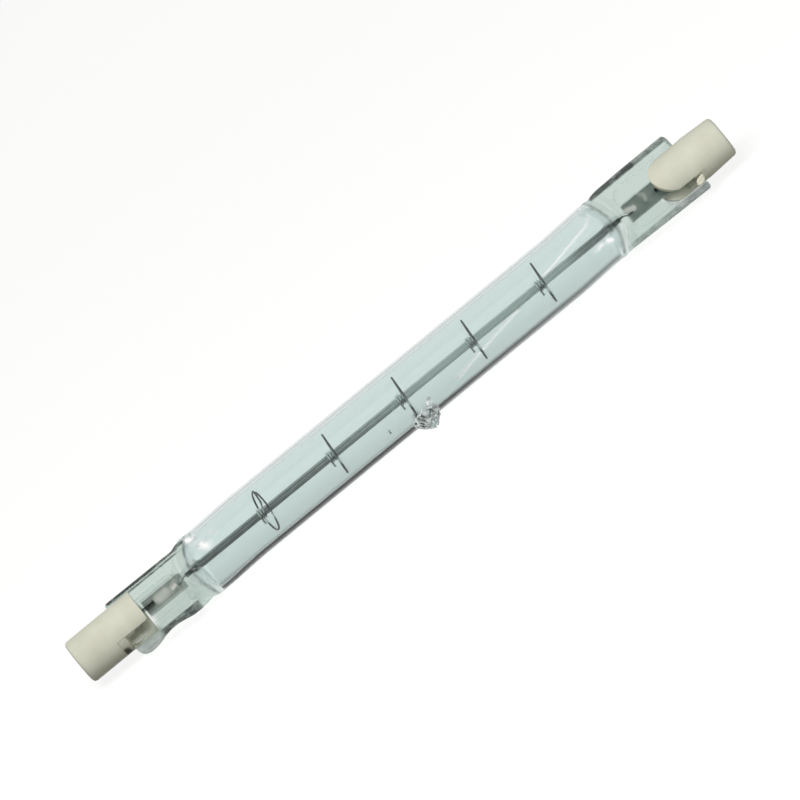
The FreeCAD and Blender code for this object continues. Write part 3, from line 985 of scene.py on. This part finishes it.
@dataclass
class FilamentSupports:
    """The wire rings that hold the coil off the tube's wall. Sizes are in millimetres, angles in degrees."""

    axis: LampAxis
    middle_x: float = 0.6
    pitch: float = 12.7
    wire_r: float = 0.14
    wire_sides: int = 8
    ring_r: float = 3.2
    ring_angle: float = 338.0
    ring_lap: float = 6.0
    coil_turns: int = 2
    coil_pitch: float = 0.39
    coil_fit: float = 0.03
    filament_r: float = 0.6
    tail: float = 1.5
    lean: float = 5.0
    turns: tuple[float, ...] = (13.0, 1.5, 0.9, 0.4, -0.2)
    coil_steps: int = 20
    ring_steps: int = 72
    painted_light: float = 0.9

    def path(self, middle: float, turn: float) -> list[Vector]:
        """Centre line of one support: its tail, the coil that grips the filament, its leg and its ring.

        Args:
            middle: Length along the lamp of the ring's middle.
            turn: How far the ring is turned about the picture's vertical.

        Returns:
            The centre line's points.
        """
        coil_r = self.filament_r + self.coil_fit + self.wire_r
        coil_start = middle - self.coil_pitch * self.coil_turns - self.wire_r * 2
        lean = tan(radians(self.lean))
        tilt = tan(radians(turn))

        def in_ring(towards: float, down: float) -> Vector:
            """A point of the leaning ring."""
            return self.axis.near(middle - lean * down + tilt * towards, towards, down)

        points = [self.axis.near(coil_start, coil_r, self.tail), self.axis.near(coil_start, coil_r, self.tail / 3)]
        for i in range(self.coil_steps * self.coil_turns + 1):
            turned = i / self.coil_steps
            angle = 2 * pi * turned
            points.append(self.axis.near(coil_start + self.coil_pitch * turned,
                                         coil_r * cos(angle), -coil_r * sin(angle)))
        ring_start = asin(coil_r / self.ring_r)
        top = self.ring_r * cos(ring_start)
        points += [in_ring(coil_r, -top * share) for share in (0.45, 0.6, 0.75, 0.93)]
        for i in range(self.ring_steps + 1):
            angle = ring_start - radians(self.ring_lap + self.ring_angle * i / self.ring_steps)
            points.append(in_ring(self.ring_r * sin(angle), -self.ring_r * cos(angle)))
        return points

    def tone(self, place: Vector) -> float:
        """Paint light onto the grip on the coil, but not onto its lower side, and onto the ring just under the coil."""
        reach = hypot(place.y - self.axis.y, place.z - self.axis.z)
        down = self.axis.down(place)
        grip = (1 - smooth_step(reach, 0.9, 1.1)) * (1 - smooth_step(down, -0.05, 0.2))
        return self.painted_light * max(grip, soft_band(down, 0.75, 1.5, 0.8))

    def build(self) -> list[Object]:
        """Bend the supports."""
        made = []
        for i, turn in enumerate(self.turns):
            middle = self.middle_x + self.pitch * (i - (len(self.turns) - 1) / 2)
            wire = swept_wire(self.path(middle, turn), self.wire_r, self.wire_sides, ALONG)
            support = mesh_piece(f"support_wire_{i + 1}", wire, Finish.TUNGSTEN_WIRE, [f"filament_support_{i + 1}"])
            paint(support, "tone", self.tone)
            made.append(support)
        return made


# Metal in the seals

@dataclass
class SealMetal:
    """The foil and leads that carry current through one seal. Sizes are in millimetres."""

    axis: LampAxis
    end: SealedEnd
    foil_width: float = 3.1
    foil_length: float = 6.8
    foil_thickness: float = 0.05
    foil_ripple: float = 0.05
    foil_ripple_fineness: Pair = (0.9, 0.7)
    foil_columns: int = 28
    foil_rows: int = 64
    outer_r: float = 0.275
    outer_overlap: float = 1.6
    outer_end: float = 56.85
    rod_r: float = 0.36
    rod_in_coil: float = 3.7
    rod_in_glass: float = 1.05
    wire_r: float = 0.125
    wire_overlap: float = 1.0
    wire_in_rod: float = 0.1
    wire_sway: float = 0.28
    wire_steps: int = 40
    bend_shares: tuple[float, ...] = (0.0, 0.2, 0.4, 0.6, 0.8, 1.0)
    bend_sways: tuple[float, ...] = (0.0, -0.5, -0.2, 0.7, 1.0, 1.0)
    bend_rises: tuple[float, ...] = (0.0, 0.3, 0.8, 1.0, 1.0, 1.0)
    rod_sides: int = 20
    wire_sides: int = 10
    outer_sides: int = 16

    def straight(self, start: float, end: float, shares: Sequence[float], radius: float, sides: int) -> Form:
        """Lay a straight wire along the seal's middle.

        Args:
            start: The length at which it starts.
            end: The length at which it ends.
            shares: Where it has rows of corners, as shares of its length.
            radius: Its radius.
            sides: How many flats go round it.

        Returns:
            The wire's form.
        """
        path = [self.end.place(self.axis, start + (end - start) * share, 0, 0) for share in shares]
        return swept_wire(path, radius, sides, UP)

    def foil(self) -> Object:
        """Roll the foil, with the slight ripples that pinching leaves in it."""
        start = self.end.gas_end + self.end.foil_start
        level = -self.outer_r - self.foil_thickness / 2
        fine_along, fine_across = self.foil_ripple_fineness
        sheets = []
        for side in (1, -1):
            corners = []
            for length in start + self.foil_length * np.arange(self.foil_rows + 1) / self.foil_rows:
                for u in self.foil_width * (np.arange(self.foil_columns + 1) / self.foil_columns - 0.5):
                    spot = Vector((length * fine_along, u * fine_across, self.end.side * 3))
                    ripple = self.foil_ripple * noise.noise(spot)
                    thin = sqrt(max(0.0, 1 - (2 * u / self.foil_width) ** 2))
                    w = level + ripple + side * self.foil_thickness / 2 * thin
                    corners.append(self.end.place(self.axis, length, u, w))
            sheets.append((corners, grid_faces(self.foil_rows + 1, self.foil_columns + 1, flip=side != self.end.side)))
        foil = mesh_piece(f"foil_{self.end.name}", merged(*sheets), Finish.MOLYBDENUM_FOIL,
                          [f"sealing_foil_{self.end.name}"], merge=0.001)
        # Paint lighter patches on the foil, and a painted glint on the left foil.
        paint(foil, "tone", lambda place: strongest(self.end.foil_glints_and_patches, place.x, self.axis.down(place)))
        return foil

    def inner_lead(self) -> Object:
        """Bend the thin wire from the foil and sleeve it with the rod that plugs the coil."""
        base = self.end.gas_end
        rod_end = base + self.rod_in_glass
        start = rod_end - self.wire_in_rod
        reach = base + self.end.foil_start + self.wire_overlap - start
        on_foil = -self.outer_r + self.wire_r
        path = []
        for i in range(self.wire_steps + 1):
            share = i / self.wire_steps
            sway = np.interp(share, self.bend_shares, self.bend_sways) * self.wire_sway
            rise = np.interp(share, self.bend_shares, self.bend_rises) * on_foil
            path.append(self.end.place(self.axis, start + reach * share, sway, rise))
        wire = swept_wire(path, self.wire_r, self.wire_sides, UP)
        rod = self.straight(base - self.rod_in_coil, rod_end, (0, 0.5, 1), self.rod_r, self.rod_sides)
        return mesh_piece(f"lead_rod_{self.end.name}", merged(wire, rod), Finish.TUNGSTEN_WIRE,
                          [f"inner_lead_{self.end.name}"])

    def outer_lead(self) -> Object:
        """Lay the outer lead from the foil to the contact."""
        start = self.end.gas_end + self.end.foil_start + self.foil_length - self.outer_overlap
        lead = self.straight(start, self.outer_end, (0, 0.3, 0.7, 1), self.outer_r, self.outer_sides)
        return mesh_piece(f"lead_wire_{self.end.name}", lead, Finish.MOLYBDENUM_WIRE, [f"outer_lead_{self.end.name}"])

    def build(self) -> list[Object]:
        """Make the foil and both leads."""
        return [self.foil(), self.inner_lead(), self.outer_lead()]


# Ceramic ends

@dataclass
class CeramicEnds:
    """The slotted ceramics, their cement and their contacts. Sizes are in millimetres."""

    axis: LampAxis
    edge_round: float = 0.14
    sharp_angle: float = 32.0
    flat_angle: float = 0.6
    fill_r: float = 3.46
    fill_half: float = 1.78
    fill_columns: int = 41
    fill_rows: int = 25
    fill_sink: float = 0.02
    fill_waves: tuple[Pair, ...] = ((3.0, 0.03),)
    fills: tuple[tuple[SealedEnd, float, float], ...] = ((LEFT, 51.35, 52.68), (RIGHT, 53.05, 53.48))
    lump_place: Triple = (52.35, 3.72, 1.5)
    lump_r: Triple = (0.8, 0.55, 0.36)
    lump_waves: tuple[Pair, ...] = ((1.6, 0.35), (4.0, 0.12))
    lump_lean: float = 0.4
    # Painted shade on the left cement, where the gap beside the glass's end looks dark.
    crevice_shade: Streak = Streak(((-52.35, 3.05), (-52.3, 3.6)), 1.1, 0.95)

    def cap(self, side: str) -> Object:
        """Soften the edges of a ceramic, as pressing and firing leave them.

        Args:
            side: The lamp's end, left or right.

        Returns:
            The ceramic.
        """
        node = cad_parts[f"ceramic_cap_{side}"]
        mesh = node.data.copy()
        mesh.name = f"ceramic_{side}"
        work = bmesh.new()
        work.from_mesh(mesh)
        bmesh.ops.remove_doubles(work, verts=work.verts, dist=0.001 * MM)
        bmesh.ops.dissolve_limit(work, angle_limit=radians(self.flat_angle), verts=work.verts, edges=work.edges)
        work.to_mesh(mesh)
        work.free()
        piece = add_object(mesh.name, mesh)
        soften = piece.modifiers.new("pressed_edges", "BEVEL")
        soften.width = self.edge_round * MM
        soften.segments = 3
        soften.limit_method = "ANGLE"
        soften.angle_limit = radians(self.sharp_angle)
        soften.harden_normals = False
        mesh.shade_smooth()
        return dress(piece, Finish.CERAMIC, [node.name])

    def fill(self, end: SealedEnd, start: float, stop: float) -> Object:
        """Fill a ceramic's slot with cement behind the glass, flush with the ceramic.

        Args:
            end: The lamp's end.
            start: The length at which the cement starts.
            stop: The length at which the slot ends.

        Returns:
            The cement.
        """
        arc = degrees(asin(self.fill_half / self.fill_r))
        angles = [radians(a) for middle in (0, 180)
                  for a in np.linspace(middle - arc, middle + arc, self.fill_columns)]
        corners = []
        for length in np.linspace(start, stop, self.fill_rows):
            for a in angles:
                u, w = self.fill_r * cos(a), self.fill_r * sin(a)
                rough = waves(Vector((length, u, w)), self.fill_waves) - self.fill_sink
                corners.append(end.place(self.axis, length, u * (1 + rough / self.fill_r), w))
        count = len(angles)
        faces = grid_faces(self.fill_rows, count, closed=True, flip=end.side > 0)
        faces += [list(range(count)), list(range(len(corners) - count, len(corners)))[::-1]]
        fill = mesh_piece(f"cement_fill_{end.name}", (corners, faces), Finish.CEMENT)
        # Paint shade where the gap beside the glass's end looks dark.
        paint(fill, "shade", lambda place: self.crevice_shade.share(place.x, self.axis.down(place)))
        return fill

    def lump(self) -> Object:
        """Leave a lump of squeezed-out cement beside the right ceramic."""
        ball = bmesh.new()
        bmesh.ops.create_icosphere(ball, subdivisions=4, radius=1.0)
        x, u, w = self.lump_place
        corners = []
        for corner in ball.verts:
            rough = 1 + waves(corner.co, self.lump_waves)
            along, across, out = (c * r * rough for c, r in zip(corner.co, self.lump_r))
            corners.append(RIGHT.place(self.axis, x + along, u + across - along * self.lump_lean, w + out))
        faces = [[corner.index for corner in face.verts] for face in ball.faces]
        ball.free()
        return mesh_piece("cement_lump", (corners, faces), Finish.CEMENT)

    def build(self) -> list[Object]:
        """Finish both ends."""
        made = [self.fill(*fill) for fill in self.fills] + [self.lump()]
        for side in ("left", "right"):
            made.append(self.cap(side))
            for name, kind in (("cement", Finish.CEMENT), ("contact", Finish.NICKEL_CONTACT)):
                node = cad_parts[f"{name}_{side}"]
                coat(node, kind)
                made.append(node)
        return made


# Studio

@dataclass
class Studio:
    """The pale floor, the soft lights and the camera. Lengths are in millimetres, angles in degrees."""

    axis: LampAxis
    climb: float = 39.38
    lens: float = 400.0
    sensor: float = 36.0
    picture_width: float = 112.96
    picture_shift: Pair = (0.155, 0.113)
    floor_size: float = 4000.0
    floor_colour: str = "#868782"
    floor_glow: float = 0.855
    ambient: float = 0.22
    lights: tuple[tuple[str, Triple, Pair, float], ...] = (
        ("key", (-60, -185, 305), (220, 180), 0.84), ("fill", (110, -110, 25), (60, 60), 0.035))
    card_colour: str = "#080908"
    # Under the tube, darkest along the lamp's line of contact: painted shade of the floor beneath the lamp, seen only
    # through the glass.
    tube_card_along: tuple[Triple, ...] = (
        (-37.6, 0, 0), (-36.6, 1, 0), (0, 1, 0), (6, 1, -0.5), (36.6, 0.8, -0.6), (38.4, 0, -0.6))
    tube_card_height: float = 0.02
    tube_shade_covers: tuple[Pair, ...] = (
        (-2.6, 1), (-1.2, 1), (-0.6, 0.9), (0.2, 0.6), (1.0, 0.32), (1.8, 0.25), (3.2, 0.19), (6.0, 0.13),
        (12.0, 0.06), (18.0, 0.0))
    # Far behind the lamp: a faint dark card, seen only through the glass, that draws faint dark lines in the tube.
    backdrop_along: tuple[Triple, ...] = ((-200, 0.3, 0), (200, 0.3, 0))
    backdrop_across: tuple[Triple, ...] = ((300, 0, 1), (300, 90, 1), (300, 120, 0))

    def camera(self) -> Object:
        """Place the camera so that the lamp climbs to the upper right, as in the photograph."""
        raised = radians(ELEVATION)
        climb = radians(self.climb)
        towards = Vector((0, -cos(raised), sin(raised)))
        level_up = Vector((0, sin(raised), cos(raised)))
        right = ALONG * cos(climb) - level_up * sin(climb)
        up = ALONG * sin(climb) + level_up * cos(climb)
        distance = self.picture_width * self.lens / self.sensor
        middle = Vector((0, self.axis.y, self.axis.z)) - right * self.picture_shift[0] - up * self.picture_shift[1]
        data = bpy.data.cameras.new("camera")
        data.lens = self.lens
        data.sensor_width = self.sensor
        data.clip_start = 1 * MM
        camera = add_object("camera", data)
        turn = Matrix((right, up, towards)).transposed().to_4x4()
        camera.matrix_world = Matrix.Translation((middle + towards * distance) * MM) @ turn
        bpy.context.scene.camera = camera
        return camera

    def seen(self, tree: NodeTree) -> Source:
        """Give 1 for rays that show a surface to the eye, straight or by glass and metal, and else 0."""
        path = add_node(tree, "ShaderNodeLightPath")
        seen: Source = path.outputs["Is Camera Ray"]
        for kind in ("Is Glossy Ray", "Is Transmission Ray"):
            seen = add_node(tree, "ShaderNodeMath", {"operation": "MAXIMUM"}, {0: seen, 1: path.outputs[kind]})
        return seen

    def floor(self) -> Object:
        """Lay the pale floor, which glows a little so that it shows white and keeps the lamp's shadow."""
        half = self.floor_size / 2
        corners = [(-half, -half, 0), (half, -half, 0), (half, half, 0), (-half, half, 0)]
        floor = add_object("floor", new_mesh("floor", (corners, [[0, 1, 2, 3]])))
        material, tree = new_material("pale_floor")
        matt = add_node(tree, "ShaderNodeBsdfDiffuse", {"Color": linear(self.floor_colour)})
        strength = add_node(tree, "ShaderNodeMath", {"operation": "MULTIPLY", 1: self.floor_glow}, {0: self.seen(tree)})
        glow = add_node(tree, "ShaderNodeEmission", None, {"Strength": strength})
        both = add_node(tree, "ShaderNodeAddShader", None, {0: matt, 1: glow})
        add_node(tree, "ShaderNodeOutputMaterial", None, {"Surface": both})
        floor.data.materials.append(material)
        return floor

    def world(self) -> None:
        """Surround the lamp with white, dimmer as a source of light than it looks."""
        world = bpy.data.worlds.new("studio")
        world.use_nodes = True
        tree = world.node_tree
        tree.nodes.clear()
        strength = add_node(tree, "ShaderNodeMapRange", {"To Min": self.ambient, "To Max": 1.0},
                            {"Value": self.seen(tree)})
        sky = add_node(tree, "ShaderNodeBackground", {"Color": linear("#ffffff")}, {"Strength": strength})
        add_node(tree, "ShaderNodeOutputWorld", None, {"Surface": sky})
        bpy.context.scene.world = world

    def light(self, name: str, place: Point, size: Pair, power: float) -> Object:
        """Hang a soft light that faces the middle of the object and that glass and metal don't show.

        Args:
            name: The light's name.
            place: Where it hangs.
            size: Its width and height.
            power: Its power in watts.

        Returns:
            The light.
        """
        data = bpy.data.lights.new(name, "AREA")
        data.shape = "RECTANGLE"
        data.size, data.size_y = (side * MM for side in size)
        data.energy = power
        light = add_object(name, data)
        light.location = Vector(place) * MM
        facing = Vector((0, self.axis.y, self.axis.z)) * MM - light.location
        light.rotation_euler = facing.to_track_quat("-Z", "Y").to_euler()
        light.visible_glossy = light.visible_transmission = False
        return light

    def card(self, name: str, along: Sequence[Triple], across: Sequence[Triple]) -> Object:
        """Set a black card that only glass shows, as photographers do to draw glass's edges. It casts no shadow and
        only rays through glass see it, so it paints shade into what the glass shows.

        Args:
            name: The card's name.
            along: Its x values, each with the share of its cover there and how far it is shifted in y.
            across: Its y and z values, each with its cover there.

        Returns:
            The card.
        """
        corners = [(x, y + shift, z) for x, _, shift in along for y, z, _ in across]
        covers = [share * cover for _, share, _ in along for _, _, cover in across]
        mesh = new_mesh(name, (corners, grid_faces(len(along), len(across))))
        mesh.attributes.new("cover", "FLOAT", "POINT").data.foreach_set("value", covers)
        material, tree = new_material("black_card")
        black = add_node(tree, "ShaderNodeBsdfDiffuse", {"Color": linear(self.card_colour)})
        clear = add_node(tree, "ShaderNodeBsdfTransparent")
        mix = add_node(tree, "ShaderNodeMixShader", None, {0: painted(tree, "cover")[0], 1: clear, 2: black})
        add_node(tree, "ShaderNodeOutputMaterial", None, {"Surface": mix})
        mesh.materials.append(material)
        card = add_object(name, mesh)
        card.visible_camera = card.visible_shadow = card.visible_diffuse = card.visible_glossy = False
        return card

    def build(self) -> None:
        """Set up the whole studio."""
        self.camera()
        self.floor()
        self.world()
        for light in self.lights:
            self.light(*light)
        across = [(y, self.tube_card_height, cover) for y, cover in self.tube_shade_covers]
        self.card("tube_shade_card", self.tube_card_along, across)
        self.card("backdrop", self.backdrop_along, self.backdrop_across)


def main() -> None:
    """Build the lamp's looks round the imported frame."""
    logging.basicConfig(level=logging.INFO, format="%(message)s")
    scene = bpy.context.scene
    scene.view_settings.view_transform = "Standard"
    low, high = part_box("contact_left")
    axis = LampAxis(y=(low.y + high.y) / 2 / MM, z=(low.z + high.z) / 2 / MM)
    pieces: list[Object] = [QuartzEnvelope(axis).build(), CoiledFilament(axis).build()]
    pieces += FilamentSupports(axis).build()
    for end in (LEFT, RIGHT):
        pieces += SealMetal(axis, end).build()
    pieces += CeramicEnds(axis).build()
    for piece in pieces:
        LOG.info("%s: %d faces", piece.name, len(piece.data.polygons))
    Studio(axis).build()


if __name__ == "__main__":
    main()
